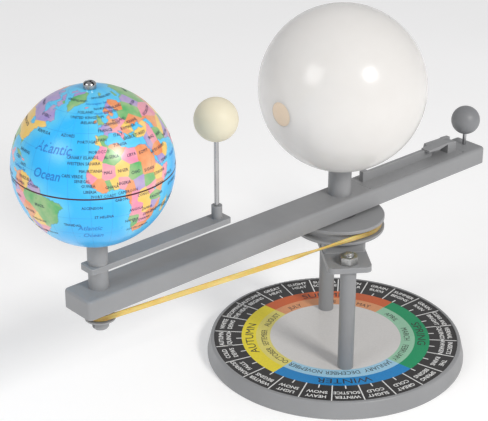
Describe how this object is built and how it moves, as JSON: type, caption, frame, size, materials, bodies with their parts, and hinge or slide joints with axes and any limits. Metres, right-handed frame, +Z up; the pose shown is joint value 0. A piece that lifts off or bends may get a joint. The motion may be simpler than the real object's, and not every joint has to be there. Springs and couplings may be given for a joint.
{
  "type": "orrery",
  "caption": "Hand-turned Sun, Earth and Moon model: lamp-lit Sun ball on a turning arm, belt-driven globe, orbiting moon arm and a printed season dial on a round base.",
  "frame": {"origin": "centre of the base's underside, on the turning axis of the arm", "axes": "+Z up along the arm's turning axis; X along the arm at rest, with the Earth at -X and the crank handle at +X"},
  "size_m": [0.2782, 0.13, 0.1829],
  "materials": {
    "grey_plastic": "satin moulded ABS, light neutral grey",
    "printed_card": "printed and laminated card",
    "zinc_steel": "bright zinc plated",
    "bright_steel": "bright drawn steel",
    "white_nylon": "natural nylon",
    "wire_insulation": "soft PVC insulation",
    "sun_plastic": "satin off-white blown ball",
    "window_plastic": "translucent peach disc",
    "brass_shell": "nickel plated brass screw shell",
    "lamp_glass": "clear glass",
    "yellow_rubber": "translucent amber rubber band",
    "printed_globe": "printed and varnished plastic, blue seas and coloured lands",
    "moon_plastic": "satin cream plastic"
  },
  "bodies": {
    "base": {"base_shell": "grey_plastic", "dial_card": "printed_card", "post_front": "grey_plastic", "post_rear": "grey_plastic", "post_bolts": "zinc_steel", "post_nuts": "zinc_steel", "pulley_bracket": "grey_plastic", "sun_pulley": "grey_plastic", "thrust_washer": "white_nylon", "pivot_bolt": "zinc_steel", "pivot_washer": "zinc_steel", "pivot_locknut": "zinc_steel"},
    "arm": {"arm_beam": "grey_plastic", "arm_floor": "grey_plastic", "floor_screws": "zinc_steel", "earth_bearing": "grey_plastic", "handle_rod": "bright_steel", "handle_ball": "grey_plastic", "battery_cells": "bright_steel", "battery_contacts": "bright_steel", "lamp_wires": "wire_insulation", "sun_post": "grey_plastic", "sun_globe": "sun_plastic", "sun_window": "window_plastic", "lamp_holder": "white_nylon", "lamp_cap": "brass_shell", "lamp_glass": "lamp_glass", "drive_belt": "yellow_rubber"},
    "earth_spindle": {"earth_shaft": "grey_plastic", "earth_pulley": "grey_plastic", "earth_collar": "grey_plastic", "globe_north": "printed_globe", "globe_south": "printed_globe", "globe_axle": "bright_steel", "globe_cap": "bright_steel"},
    "moon_carrier": {"moon_arm": "grey_plastic", "moon_rod": "bright_steel", "moon_ball": "moon_plastic"},
    "battery_lid": {"battery_cover": "grey_plastic"}
  },
  "joints": [
    {"name": "arm_turn", "type": "hinge", "parent": "base", "child": "arm", "pos_m": [0, 0, 0.0795], "axis": [0, 0, 1], "continuous": true},
    {"name": "earth_spin", "type": "hinge", "parent": "arm", "child": "earth_spindle", "pos_m": [-0.1453, 0, 0.0884], "axis": [0, 0, 1], "continuous": true},
    {"name": "moon_orbit", "type": "hinge", "parent": "arm", "child": "moon_carrier", "pos_m": [-0.1453, 0, 0.0987], "axis": [0, 0, 1], "continuous": true},
    {"name": "battery_cover_lift", "type": "slide", "parent": "arm", "child": "battery_lid", "axis": [0, 0, 1], "range_m": [0, 0.012]}
  ],
  "couplings": [
    {"joint": "earth_spin", "follows": "arm_turn", "ratio": -3.7455}
  ]
}
